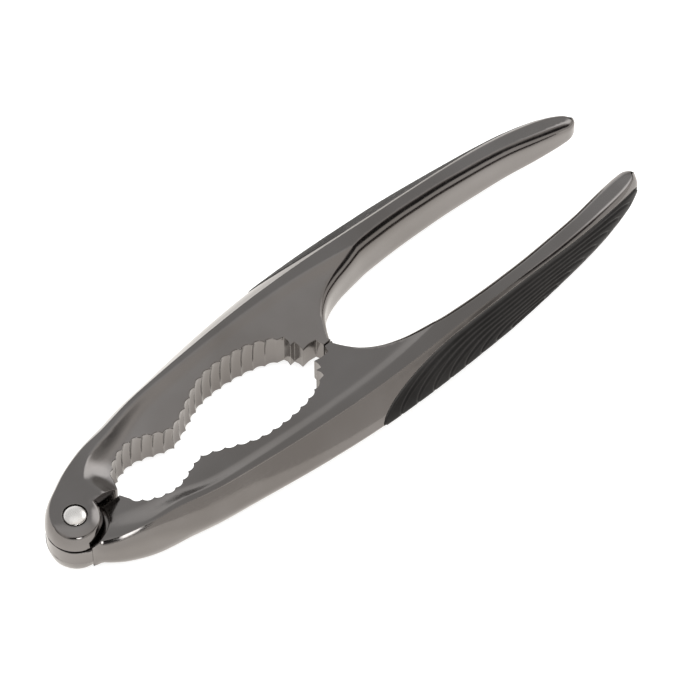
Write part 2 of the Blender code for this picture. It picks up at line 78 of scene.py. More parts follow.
# the grip's edge climbs to GRIP_CREST at GRIP_CREST_X and falls to its tip,
# as two quarter ellipses of these powers
GRIP_CREST, GRIP_CREST_X, GRIP_POWERS = 6.05, 93.0, (2.0, 2.2)
PAD_INSET = 0.16             # the pad is this much smaller than its pocket at the edge
INSET_ENDS = 2.5             # an inset draws the ends in by this many times its size
RINGS = 8.9                  # ridge rings from the leaf outline to its middle
RING_START, RING_END = 4.75, 4.45   # each ring draws the two ends in by this much
GROOVE = 0.42                # half width of a groove
GROOVE_DEPTH, GROOVE_POWER = 0.24, 0.8
RIDGE_LIFT = 0.1             # ridge tops stand this far over GRIP_PROUD
PAD_EDGE, PAD_DROP = 0.35, 0.32     # width and depth of the rounding along the pad's edge

# ---------------------------------------------------------------- mesh density
PLAN_STEP = 0.55             # spacing along the plan outline
PER_TOOTH = 10
LEVELS = 24                  # steps down a side wall
EDGE_STEPS = 3               # steps in each cast edge rounding
ARC_STEPS = 36               # steps round the shoulder; the eye takes twice as many
ROW_STEP = 0.7               # spacing of face points along a row
EAR_STEP = 0.8               # spacing of face points round the ears
# rows of face points: distances in from the crease line, fine over the rim, then coarser
ROWS = [0.35 * k for k in range(1, 14)] + [4.9 + 0.8 * k for k in range(24)]
CELL = ROW_STEP * 0.4        # bins that keep face points apart
MIN_SPACING = CELL * 0.4
RIM_CLEARANCE = 0.3          # face points keep this far from the outline
POCKET_STEPS = (160, 16)     # steps along and across
PAD_STEPS = (420, 128)
ROUND_STEPS, SLOT_STEPS, DOME_STEPS = 96, 128, 14

# ---------------------------------------------------------------- outlines and stations
# plan outlines: (x, distance from the centre line)
# outer side at mid thickness, round the nose of the hinge eye
NOSE = [
    (-6.55, 0), (-6.2, 2.3), (-5.2, 4.3), (-3.6, 6.2), (-1.8, 7.6), (0.8, 9.1), (4.1, 10.9),
    (8.3, 12.7), (12.5, 14.2)]
# crease where the outer side meets the flat face; the side swells out from it by BULGE
EDGE = [
    (18, 13.0), (26, 14.7), (35, 15.8), (50, 17.1), (65, 17.9), (80, 17.9), (95, 17.3),
    (110, 16.8), (125, 16.0), (137, 14.7), (146, 13.1), (150, 11.9), (152.6, 10.5), (153.7, 8.9)]
# inner side of the handle at mid thickness, from the tip back to the waist
INNER = [
    (153.7, 10.5), (153.0, 9.0), (151.3, 8.2), (149.0, 8.3), (142.0, 9.35), (135.0, 10.6),
    (130.0, 11.2), (125.0, 11.65), (117.0, 12.25), (110.0, 12.5), (104.0, 12.6), (98.0, 12.45),
    (92.5, 12.1), (88.0, 11.2), (83.0, 10.0), (79.0, 8.4), (75.6, 5.8), (73.4, 2.6), (72.2, 0.15)]
WAIST = [
    (72.2, 0.15), (70.2, 0.15), (69.85, 1.1), (69.6, 2.0), (67.7, 2.2), (65.7, 1.85),
    (65.75, 3.1), (65.45, 4.4), (64.2, 4.25), (64.5, 5.4), (64.3, 6.6)]
# tooth tip lines of the two nests, which meet at the cusp
CUSP = (31.0, 4.4)
LARGE_NEST = [
    (62.6, 7.0), (57.8, 9.1), (52.3, 10.15), (48.3, 10.35), (44.1, 10.0), (41.2, 9.1),
    (38.7, 7.9), (34.0, 5.55), CUSP]
SMALL_NEST = [
    CUSP, (28.6, 5.0), (24.0, 6.9), (21.5, 7.5), (19.2, 7.25), (16.3, 6.1), (14.3, 4.6),
    (12.9, 2.9)]
NEST_END = (11.9, SPLIT_Y)

# stations: (x, value)
HEIGHT = [   # half thickness at the rim
    (-10, 6.9), (94, 6.9), (95, 6.9), (104, 6.75), (110, 6.55), (116, 6.35), (122, 6.1),
    (128, 5.85), (133, 5.55), (138, 5.15), (143, 4.55), (148, 3.8), (152, 2.9), (153.7, 2.3)]
BULGE = [    # swell of the outer side at mid thickness
    (-6.55, 1.5), (0, 1.3), (11, 1.8), (18, 2.9), (35, 3.5), (50, 4.3), (70, 5.0), (98, 5.4),
    (110, 5.0), (126, 3.8), (140, 2.9), (153.7, 1.6)]
INNER_BULGE = [
    (72.2, 0.6), (78, 1.1), (88, 1.8), (98, 2.0), (130, 1.8), (145, 1.6), (153.7, 1.5)]
# outer side section: power of the side curve, and how far its top edge is rounded over
# (0 crease, 1 full round)
SIDE_POWER = [(-7, 3), (10, 3), (15, 2.4), (20, 1.7), (35, 1.45), (154, 1.45)]
SIDE_ROUND = [(-7, 0.5), (-3, 0.3), (0, 0), (110, 0), (130, 0.35), (154, 0.8)]
FILLET = [(-7, 6.5), (10, 6.5), (17, 5.2), (30, 3.2), (70, 3.0), (154, 3.0)]   # fillet width
BAND = [     # width of the flat rim
    (-6, 6.0), (5, 5.2), (8, 3.8), (12, 2.3), (25, 1.2), (45, 1.5), (60, 1.8), (70, 2.1),
    (80, 2.8), (90, 3.8), (100, 5.2), (154, 6)]
# the tongue lever is this much thinner per face at its shoulder
HINGE_DROP = [(-2, 3.6), (0, 3.0), (2, 2.4), (8, 0.9), (13, 0.2), (17, 0.0)]


# ---------------------------------------------------------------- curves and paths
def clamp01(value):
    return min(max(value, 0.0), 1.0)


def curve(table, x):
    # smooth interpolation through a table of (x, value) stations
    if x <= table[0][0]:
        return table[0][1]
    if x >= table[-1][0]:
        return table[-1][1]
    i = max(k for k in range(len(table) - 1) if table[k][0] <= x)

    def slope(k):
        before, after = table[max(k - 1, 0)], table[min(k + 1, len(table) - 1)]
        return (after[1] - before[1]) / (after[0] - before[0])

    (xa, ya), (xb, yb) = table[i], table[i + 1]
    width = xb - xa
    t = (x - xa) / width
    return ((2 * t ** 3 - 3 * t ** 2 + 1) * ya + (t ** 3 - 2 * t ** 2 + t) * width * slope(i)
            + (3 * t ** 2 - 2 * t ** 3) * yb + (t ** 3 - t ** 2) * width * slope(i + 1))


def between(a, b, ta, tb, t):
    return a * ((tb - t) / (tb - ta)) + b * ((t - ta) / (tb - ta))


def path(points, step=None, count=None):
    # centripetal spline through plan points, resampled evenly: about `step` apart, or in
    # `count` parts
    pts = [Vector(p) for p in points]
    extended = [pts[0] * 2 - pts[1]] + pts + [pts[-1] * 2 - pts[-2]]
    fine = []
    for k in range(len(pts) - 1):
        p0, p1, p2, p3 = span = extended[k:k + 4]
        knots = [0.0]
        for a, b in zip(span, span[1:]):
            knots.append(knots[-1] + max((b - a).length, 1e-6) ** 0.5)
        t0, t1, t2, t3 = knots
        for j in range(24):
            t = t1 + (t2 - t1) * j / 24
            a1 = between(p0, p1, t0, t1, t)
            a2 = between(p1, p2, t1, t2, t)
            a3 = between(p2, p3, t2, t3, t)
            b1 = between(a1, a2, t0, t2, t)
            b2 = between(a2, a3, t1, t3, t)
            fine.append(between(b1, b2, t1, t2, t))
    fine.append(pts[-1])
    run = [0.0]
    for a, b in zip(fine, fine[1:]):
        run.append(run[-1] + (b - a).length)
    count = count or round(run[-1] / step)
    out = []
    k = 0
    for j in range(count + 1):
        distance = run[-1] * j / count
        while k < len(run) - 2 and run[k + 1] < distance:
            k += 1
        f = (distance - run[k]) / max(run[k + 1] - run[k], 1e-9)
        out.append(fine[k].lerp(fine[k + 1], f))
    return out


def normals(pts):
    # unit plan normals, on the left of the direction of travel
    out = []
    for k in range(len(pts)):
        along = pts[min(k + 1, len(pts) - 1)] - pts[max(k - 1, 0)]
        along.normalize()
        out.append(Vector((-along.y, along.x)))
    return out


def plan_tree(pts):
    tree = KDTree(len(pts))
    for k, p in enumerate(pts):
        tree.insert((p.x, p.y, 0.0), k)
    tree.balance()
    return tree


OUTER = NOSE + [(x, y + curve(BULGE, x)) for x, y in EDGE]
HANDLE_SIDE = OUTER[4:]      # the part of the outer side where y is a plain function of x
outer_run = path(OUTER, 0.5)
CREASE = [p - n * curve(BULGE, p.x) for p, n in zip(outer_run, normals(outer_run))]
CREASE_TREE = plan_tree(path(CREASE, 0.15))


# ---------------------------------------------------------------- lever surfaces
def rise(x, radius, inset, style):
    # how far the surface has risen from the web (0) to the rim (1), from the distances to
    # the hinge axis and to the crease
    band = curve(BAND, x)
    boss = 0.0
    if style == "tongue":
        band = min(band, 0.3 + max(x - 6.0, 0.0) * 0.07)
    else:
        boss = 1 / (1 + (max(radius - BOSS_R, 0.0) / BOSS_FADE) ** BOSS_POWER)
    u = clamp01((inset - band) / curve(FILLET, x))
    return 1 - (1 - (1 - u) ** FILLET_POWER) * (1 - boss)


def half_height(x, y, style):
    # half thickness over the plan: flat rim and hinge boss, hollow fillet, wedge-shaped web
    top = curve(HEIGHT, x)
    if style == "tongue":
        top -= curve(HINGE_DROP, x)
    web = min(WEB_0 + WEB_K * abs(y), top)
    radius = math.hypot(x, y)
    if style == "fork" and (radius < BOSS_R or y < 0):
        return top - EAR_FALL * clamp01((radius - 3.1) / 3.4) * clamp01(0.2 - y / 3.0)
    inset = CREASE_TREE.find((x, abs(y), 0.0))[2]
    return web + (top - web) * rise(x, radius, inset, style)


def side_back(kind, x, s):
    # how far the side lies inside its mid-thickness outline, as a part of the bulge, at
    # height s = -1..1
    s = min(abs(s), 1.0)
    if kind == "inner":
        power, rounding = 6.0, 0.0
    elif kind == "eye":
        power, rounding = 2.6, 0.6
    else:
        power, rounding = curve(SIDE_POWER, x), curve(SIDE_ROUND, x)
    return rounding * (1 - math.sqrt(1 - s * s)) + (1 - rounding) * s ** power


def top_offset(kind, x, bulge):
    # outward offset of a wall's top edge from its mid-thickness outline
    return -EDGE_R if kind in ("flat", "nest") else -bulge * side_back(kind, x, 1.0)


def section(kind, x, height, bulge):
    # wall section from top edge to bottom edge: (outward offset, z over the mid plane)
    if kind in ("outer", "inner", "eye"):
        sines = [math.sin(math.pi / 2 * (1 - 2 * j / LEVELS)) for j in range(LEVELS + 1)]
        return [(-bulge * side_back(kind, x, s), height * s) for s in sines]
    corner = []
    for j in range(EDGE_STEPS):
        a = math.pi / 2 * j / EDGE_STEPS
        corner.append((-EDGE_R * (1 - math.sin(a)), height - EDGE_R * (1 - math.cos(a))))
    straight = LEVELS - 2 * EDGE_STEPS
    wall = [(0.0, (height - EDGE_R) * (1 - 2 * j / straight)) for j in range(straight + 1)]
    out = corner + wall + [(offset, -z) for offset, z in reversed(corner)]
    if kind == "nest":
        out = [(offset - NEST_CUP * (1 - (z / height) ** 2), z) for offset, z in out]
    return out


# ---------------------------------------------------------------- lever outlines
def nest_rim(table, teeth):
    pts = path(table, count=teeth * PER_TOOTH)
    out = []
    for k, (p, n) in enumerate(zip(pts, normals(pts))):
        f = (k % PER_TOOTH) / PER_TOOTH
        depth = TOOTH_DEPTH * math.sin(math.pi * f) ** TOOTH_POWER if f > 0 else 0.0
        out.append((p - n * depth, n, "nest", 0.0))
    return out


def eye_limit(p):
    # keeps the tongue side flush with the round ears near the nose
    if p.x > 4.1:
        return p
    if p.x < -0.6:
        reach = 6.75 + max(p.x + 3.0, 0.0) * 0.33
    else:
        reach = 7.54 + (p.x + 0.6) * 0.87
    return p * min(1.0, reach / p.length)


def outer_rim(style):
    outer = path(OUTER, PLAN_STEP)
    if style == "fork":
        return [(p, n, "outer", curve(BULGE, p.x))
                for p, n in zip(outer, normals(outer)) if p.y > 0.0]
    start = next(p for p in path(OUTER, 0.1) if p.x > END_X)
    outer = [start] + [p for p in outer if p.x > END_X + PLAN_STEP * 0.4]
    rim = []
    for p, n in zip(outer, normals(outer)):
        q = eye_limit(p)
        # the bulge may not reach through to the shoulder
        room = q.y - math.sqrt(max(SHOULDER_R ** 2 - q.x ** 2, 0.0)) - 0.25
        rim.append((q, n, "outer", min(curve(BULGE, p.x), max(room, 0.15))))
    return rim


def nest_end_rim():
    # straight wall from the small nest to the hinge
    a, b = Vector(SMALL_NEST[-1]), Vector(NEST_END)
    along = (b - a).normalized()
    steps = round((b - a).length / PLAN_STEP)
    return [(a.lerp(b, k / steps), Vector((-along.y, along.x)), "flat", 0.0)
            for k in range(1, steps + 1)]


def hinge_rim(style):
    # round eye of the fork lever, or concave shoulder of the tongue lever
    radius = NOSE_R if style == "fork" else SHOULDER_R
    start = math.asin(SPLIT_Y / radius)
    end = -math.pi if style == "fork" else math.radians(SHOULDER_END)
    steps = ARC_STEPS * 2 if style == "fork" else ARC_STEPS
    rim = []
    for k in range(steps + 1):
        a = start + (end - start) * k / steps
        out = Vector((math.cos(a), math.sin(a)))
        if style == "fork":
            rim.append((out * radius, out, "eye", EYE_BULGE))
        else:
            rim.append((out * radius, -out, "flat", 0.0))
    return rim


def outline(style):
    # closed plan outline as samples (point, outward normal, kind, bulge)
    inner = path(INNER, PLAN_STEP * 0.9)
    rim = outer_rim(style)
    rim += [(p, n, "inner", curve(INNER_BULGE, p.x))
            for p, n in list(zip(inner, normals(inner)))[1:-1]]
    rim += [(Vector(p), Vector((0, -1)), "flat", 0.0) for p in WAIST]
    rim += nest_rim(LARGE_NEST, LARGE_TEETH)[:-1]
    rim += nest_rim(SMALL_NEST, SMALL_TEETH)
    return rim + nest_end_rim() + hinge_rim(style)


# ---------------------------------------------------------------- mesh tools
def vert(bm, x, y, z):
    return bm.verts.new((x * MM, y * MM, z * MM))


def smooth(mesh):
    mesh.shade_smooth()
    mesh.set_sharp_from_angle(angle=math.radians(32))


def finish_mesh(bm, name):
    bmesh.ops.recalc_face_normals(bm, faces=bm.faces)
    mesh = bpy.data.meshes.new(name)
    bm.to_mesh(mesh)
    bm.free()
    obj = bpy.data.objects.new(name, mesh)
    bpy.context.collection.objects.link(obj)
    smooth(mesh)
    return obj


def split_large_faces(bm):
    bmesh.ops.triangulate(bm, faces=[f for f in bm.faces if len(f.verts) > 4])


def prism(name, poly, z0, z1):
    # straight-sided solid over a plan polygon
    bm = bmesh.new()
    face = bm.faces.new([vert(bm, x, y, z0) for x, y in poly])
    out = bmesh.ops.extrude_face_region(bm, geom=[face])
    top = [g for g in out["geom"] if isinstance(g, bmesh.types.BMVert)]
    bmesh.ops.translate(bm, verts=top, vec=(0, 0, (z1 - z0) * MM))
    return finish_mesh(bm, name)


def loft(bm, name, rings):
    # closed skin through rings of vertices, capped at both ends
    count = len(rings[0])
    for a, b in zip(rings, rings[1:]):
        for j in range(count):
            bm.faces.new([a[j], a[(j + 1) % count], b[(j + 1) % count], b[j]])
    bm.faces.new(rings[0])
    bm.faces.new(rings[-1][::-1])
    split_large_faces(bm)
    return finish_mesh(bm, name)


def cut(obj, cutter, operation="DIFFERENCE"):
    mod = obj.modifiers.new(cutter.name, "BOOLEAN")
    mod.operation = operation
    mod.solver = "EXACT"
    mod.object = cutter


def apply_all(obj):
    graph = bpy.context.evaluated_depsgraph_get()
    mesh = bpy.data.meshes.new_from_object(obj.evaluated_get(graph))
    obj.modifiers.clear()
    obj.data = mesh
    bm = bmesh.new()
    bm.from_mesh(mesh)
    bmesh.ops.remove_doubles(bm, verts=bm.verts, dist=0.000002)
    bmesh.ops.dissolve_degenerate(bm, edges=bm.edges, dist=0.000001)
    split_large_faces(bm)
    bm.to_mesh(mesh)
    bm.free()
    smooth(mesh)


def mirror_y(obj):
    bm = bmesh.new()
    bm.from_mesh(obj.data)
    bmesh.ops.scale(bm, vec=(1, -1, 1), verts=bm.verts)
    bmesh.ops.reverse_faces(bm, faces=bm.faces)
    bm.to_mesh(obj.data)
    bm.free()


# ---------------------------------------------------------------- lever castings
def face_candidates(style):
    # rows that follow the crease inwards, and rings round the -y half of the fork's ears
    crease = path(CREASE, ROW_STEP)
    crease_normals = normals(crease)
    out = []
    for inset in ROWS:
        for c, n in zip(crease, crease_normals):
            p = c - n * inset
            out.append((p.x, p.y))
    if style == "fork":
        for r in np.arange(HEAD_BORE_R + 0.4, NOSE_R - 1.2, EAR_STEP):
            count = int(2 * math.pi * r / EAR_STEP)
            for k in range(count):
                a = 2 * math.pi * k / count
                if math.sin(a) < 0.05:
                    out.append((r * math.cos(a), r * math.sin(a)))
    return np.array(out)


def inside(points, edge):
    # even-odd test for all points at once
    x, y = points[:, 0], points[:, 1]
    hit = np.zeros(len(points), bool)
    for (ax, ay), (bx, by) in zip(edge, np.roll(edge, -1, axis=0)):
        if by != ay:
            hit ^= ((ay > y) != (by > y)) & (x < (bx - ax) * (y - ay) / (by - ay) + ax)
    return hit


def face_points(style, rim_tops):
    # candidates inside the outline, clear of it and of one another
    tree = plan_tree(rim_tops)
    candidates = face_candidates(style)
    edge = np.array([(t.x, t.y) for t in rim_tops])
    bins = {}
    out = []
    for x, y in candidates[inside(candidates, edge)]:
        if tree.find((x, y, 0))[2] < RIM_CLEARANCE:
            continue
        column, row = round(x / CELL), round(y / CELL)
        near = [q for i in (-1, 0, 1) for j in (-1, 0, 1)
                for q in bins.get((column + i, row + j), ())]
        if any((qx - x) ** 2 + (qy - y) ** 2 < MIN_SPACING * MIN_SPACING for qx, qy in near):
            continue
        bins.setdefault((column, row), []).append((x, y))
        out.append(Vector((x, y)))
    return out


def lever(name, style):
    rim = outline(style)
    tops = [p + n * top_offset(kind, p.x, bulge) for p, n, kind, bulge in rim]
    heights = [half_height(t.x, t.y, style) for t in tops]
    count = len(tops)
    edges = [(k, (k + 1) % count) for k in range(count)]
    verts, _, faces, origin, _, _ = delaunay_2d_cdt(
        tops + face_points(style, tops), edges, [], 1, 1e-6)
    where = {i: k for k, sources in enumerate(origin) for i in sources}
    bm = bmesh.new()
    upper, lower = [], []
    for v, sources in zip(verts, origin):
        on_rim = sources and sources[0] < count
        h = heights[sources[0]] if on_rim else half_height(v.x, v.y, style)
        upper.append(vert(bm, v.x, v.y, HALF_T + h))
        lower.append(vert(bm, v.x, v.y, HALF_T - h))
    for f in faces:
        bm.faces.new([upper[i] for i in f])
        bm.faces.new([lower[i] for i in reversed(f)])
    walls = []
    for k, (p, n, kind, bulge) in enumerate(rim):
        wall = [upper[where[k]]]
        for offset, z in section(kind, p.x, heights[k], bulge)[1:-1]:
            wall.append(vert(bm, p.x + n.x * offset, p.y + n.y * offset, HALF_T + z))
        wall.append(lower[where[k]])
        walls.append(wall)
    for k in range(count):
        a, b = walls[k], walls[(k + 1) % count]
        for j in range(LEVELS):
            bm.faces.new([a[j], a[j + 1], b[j + 1], b[j]])
    return finish_mesh(bm, name)


def slot_plan():
    # the slot between the ears: round about the hinge axis, and open at the nose
    a = math.acos(SLOT_MOUTH_X / SLOT_R)
    turns = [-a + 2 * a * k / SLOT_STEPS for k in range(SLOT_STEPS + 1)]
    arc = [(SLOT_R * math.cos(t), SLOT_R * math.sin(t)) for t in turns]
    return [(-12, -12), (SLOT_MOUTH_X, -12)] + arc + [(SLOT_MOUTH_X, 12), (-12, 12)]


def tongue_plan():
    # central tongue: just inside the lever's outer side, then round the hinge axis
    poly = []
    for p in path(OUTER, 0.9):
        if p.x < 3.4:
            q = eye_limit(p)
            shrink = 0.955 if q.x > END_X - 0.4 else 0.995
            poly.append((q.x * shrink, q.y * shrink))
    radius, split = NOSE_R - 0.05, SPLIT_Y + 0.3
    poly += [(5.5, 8.5), (9.0, 4.0), (8.6, split)]
    start = math.asin(split / radius)
    for k in range(ROUND_STEPS):
        a = start - (math.pi + start) * k / ROUND_STEPS
        poly.append((radius * math.cos(a), radius * math.sin(a)))
    return poly


def bore_cutters():
    # shank hole right through, and a wider bore for the pin's head at each face
    full, over = 2 * HALF_T, 1
    cutters = []
    for name, radius, z0, z1 in (
            ("cut_shank", SHANK_HOLE_R, -over, full + over),
            ("cut_head_top", HEAD_BORE_R, full - BORE_T, full + over),
            ("cut_head_low", HEAD_BORE_R, -over, BORE_T)):
        turns = [2 * math.pi * k / ROUND_STEPS for k in range(ROUND_STEPS)]
        disc = [(radius * math.cos(a), radius * math.sin(a)) for a in turns]
        cutters.append(prism(name, disc, z0, z1))
    return cutters


def lever_castings():
    fork = lever("fork_casting", "fork")
    tongue = lever("tongue_casting", "tongue")
    pocket = grip_pocket()
    slot = prism("cut_slot", slot_plan(), HALF_T - SLOT_T, HALF_T + SLOT_T)
    bores = bore_cutters()
    for cutter in [slot, pocket] + bores:
        cut(fork, cutter)
    apply_all(fork)
    neck = prism("cut_tongue", tongue_plan(), HALF_T - TONGUE_T, HALF_T + TONGUE_T)
    cut(tongue, neck, "UNION")
    cut(tongue, bores[0])
    cut(tongue, pocket)
    apply_all(tongue)
    mirror_y(tongue)
    for cutter in [pocket, slot, neck] + bores:
        bpy.data.objects.remove(cutter, do_unlink=True)
    return fork, tongue


# ---------------------------------------------------------------- grips
def grip_top(x):
    # how far the grip's edge stands over the mid plane
    beyond = x > GRIP_CREST_X
    end, power = (GRIP_X1, GRIP_POWERS[1]) if beyond else (GRIP_X0, GRIP_POWERS[0])
    t = clamp01((x - end) / (GRIP_CREST_X - end))
    return max(GRIP_CREST * (1 - (1 - t) ** power) ** (1 / power), GRIP_MIN_TOP)


def leaf_top(x, xa, xb):
    # grip_top for a leaf squeezed to lie between xa and xb
    return grip_top(GRIP_X0 + (GRIP_X1 - GRIP_X0) * (x - xa) / (xb - xa))


def leaf_stations(steps, inset, ease):
    # (x, half width) along the leaf; ease 0..1 crowds the stations towards its ends
    xa, xb = GRIP_X0 + inset * INSET_ENDS, GRIP_X1 - inset * INSET_ENDS
    out = []
    for i in range(steps + 1):
        t = i / steps
        x = xa + (xb - xa) * ((0.5 - 0.5 * math.cos(math.pi * t)) * ease + t * (1 - ease))
        out.append((x, leaf_top(x, xa, xb) - inset))
    return out


def grip_vert(bm, x, z, lift):
    # vertex on the outer side of a handle at height z over the mid plane, moved out by lift
    d = 0.5
    slope = (curve(HANDLE_SIDE, x + d) - curve(HANDLE_SIDE, x - d)) / (2 * d)
    n = Vector((-slope, 1.0)).normalized()
    back = curve(BULGE, x) * side_back("outer", x, z / curve(HEIGHT, x))
    p = Vector((x, curve(HANDLE_SIDE, x))) + n * (lift - back)
    return vert(bm, p.x, p.y, HALF_T + z)


def grip_pocket():
    # cutter for the grip's pocket, standing well clear of the handle's side
    along, across = POCKET_STEPS
    bm = bmesh.new()
    rings = []
    for x, half in leaf_stations(along, inset=0.0, ease=0.6):
        high, low = [
            [grip_vert(bm, x, half * (1 - 2 * j / across), lift) for j in range(across + 1)]
            for lift in (3.0, -GRIP_DEPTH - GRIP_GAP)]
        rings.append(high + low[::-1])
    return loft(bm, "cut_grip", rings)


def ridge_phase(x, z):
    # how many ridges in from the leaf outline a point lies: each ring is the outline drawn
    # in by equal steps
    low, high = 0.0, RINGS - 0.01
    for _ in range(12):
        k = (low + high) / 2
        xa, xb = GRIP_X0 + RING_START * k, GRIP_X1 - RING_END * k
        if x <= xa or x >= xb or abs(z) > leaf_top(x, xa, xb) * (1 - k / RINGS):
            high = k
        else:
            low = k
    return (low + high) / 2


def groove_depths(grid):
    # groove depth 0..1 over a grid of (x, z, phase); the distance to a ridge line is the
    # phase step over its slope, so every groove has the same width
    phase = grid[..., 2]
    x_i, x_j = np.gradient(grid[..., 0])
    z_i, z_j = np.gradient(grid[..., 1])
    phase_i, phase_j = np.gradient(phase)
    det = x_i * z_j - x_j * z_i
    det[np.abs(det) < 1e-9] = 1e-9
    slope_x = (phase_i * z_j - phase_j * z_i) / det
    slope_z = (x_i * phase_j - x_j * phase_i) / det
    steepness = np.clip(np.hypot(slope_x, slope_z), 0.16, 4.0)
    distance = np.abs(phase - np.round(phase)) / steepness
    return np.clip(1 - distance / GROOVE, 0, 1) * (phase > 0.5)


def grip_pad(name):
    along, across = PAD_STEPS
    # the pad's edges and interior keep bitwise the same spacing in both passes
    stations = leaf_stations(along, inset=PAD_INSET, ease=0.25)
    heights = [[half * (1 - 2 * j / across) for j in range(across + 1)] for _, half in stations]
    groove = groove_depths(np.array([
        [(x, z, ridge_phase(x, abs(z))) for z in column]
        for (x, _), column in zip(stations, heights)]))
    bm = bmesh.new()
    rings = []
    for i, (x, half) in enumerate(stations):
        ring = []
        for j, z in enumerate(heights[i]):
            edge = min(1.0, (half - abs(z)) / PAD_EDGE)
            lift = (GRIP_PROUD + RIDGE_LIFT - GROOVE_DEPTH * groove[i, j] ** GROOVE_POWER
                    - PAD_DROP * (1 - edge) ** 2)
            ring.append(grip_vert(bm, x, z, lift))
        for j in range(across, -1, -across // 4):
            ring.append(grip_vert(bm, x, heights[i][j], -GRIP_DEPTH))
        rings.append(ring)
    obj = loft(bm, name, rings)
    obj.data.set_sharp_from_angle(angle=math.radians(60))
    return obj


# ---------------------------------------------------------------- hinge pin
def pin_mesh(name):
    # stepped rivet turned about the hinge axis: flat riveted tail, shank, domed head
    top = 2 * HALF_T - PIN_SINK
    profile = [   # (radius, z)
        (0.0, 0.0), (HEAD_R - PIN_EDGE, 0.0), (HEAD_R, PIN_EDGE), (HEAD_R, HEAD_T),
        (SHANK_R, HEAD_T), (SHANK_R, top - HEAD_T), (HEAD_R, top - HEAD_T)]
    for k in range(DOME_STEPS):
        a = math.pi / 2 * k / DOME_STEPS
        profile.append((HEAD_R * math.cos(a), top - DOME_SKIRT + (DOME + DOME_SKIRT) * math.sin(a)))
    profile.append((0.0, top - DOME_SKIRT + (DOME + DOME_SKIRT)))
    bm = bmesh.new()
    verts = [vert(bm, r, 0, z) for r, z in profile]
    edges = [bm.edges.new(pair) for pair in zip(verts, verts[1:])]
    bmesh.ops.spin(bm, geom=verts + edges, cent=(0, 0, 0), axis=(0, 0, 1), angle=2 * math.pi,
                   steps=ROUND_STEPS, use_merge=True)
    bmesh.ops.remove_doubles(bm, verts=bm.verts, dist=0.000001)
    return finish_mesh(bm, name)


# ---------------------------------------------------------------- shader node tools
def feed(tree, socket, value):
    # link a socket into an input, or set a plain value; colours are given without alpha
    if isinstance(value, bpy.types.NodeSocket):
        tree.links.new(value, socket)
    elif socket.type == "RGBA":
        socket.default_value = (*value, 1)
    else:
        socket.default_value = value


def feed_all(tree, node, inputs):
    for key, value in inputs.items():
        feed(tree, node.inputs[key], value)


def add_node(tree, kind, inputs=None, **settings):
    node = tree.nodes.new(kind)
    for key, value in settings.items():
        setattr(node, key, value)
    feed_all(tree, node, inputs or {})
    return node


def noise(tree, coords, scale, detail, rough, distortion=0.0):
    return add_node(tree, "ShaderNodeTexNoise", {
        "Scale": scale, "Detail": detail, "Roughness": rough, "Distortion": distortion,
        "Vector": coords}).outputs["Fac"]


def remap(tree, value, span, to=(0, 1)):
    # clamped linear map of the input range `span` onto `to`
    return add_node(tree, "ShaderNodeMapRange", {
        "From Min": span[0], "From Max": span[1], "To Min": to[0], "To Max": to[1],
        "Value": value}).outputs["Result"]


def calc(tree, operation, a, b):
    return add_node(tree, "ShaderNodeMath", {0: a, 1: b}, operation=operation).outputs[0]


def dot(tree, a, b):
    return add_node(tree, "ShaderNodeVectorMath", {0: a, 1: b},
                    operation="DOT_PRODUCT").outputs["Value"]


def mix(tree, factor, a, b, blend="MIX"):
    return add_node(tree, "ShaderNodeMix", {"Factor": factor, "A": a, "B": b},
                    data_type="RGBA", blend_type=blend).outputs["Result"]


def bump(tree, height, strength, distance, normal=None):
    inputs = {"Strength": strength, "Distance": distance, "Height": height}
    if normal:
        inputs["Normal"] = normal
    return add_node(tree, "ShaderNodeBump", inputs).outputs["Normal"]


def new_material(name):
    mat = bpy.data.materials.new(name)
    mat.use_nodes = True
    return mat, mat.node_tree, mat.node_tree.nodes["Principled BSDF"]


def object_coords(tree):
    return add_node(tree, "ShaderNodeTexCoord").outputs["Object"]


# ---------------------------------------------------------------- materials
GUNMETAL, WARM_GUNMETAL = (0.232, 0.221, 0.216), (0.186, 0.174, 0.166)
WORN_METAL = (0.48, 0.46, 0.44)
PLATING_ROUGH = 0.12


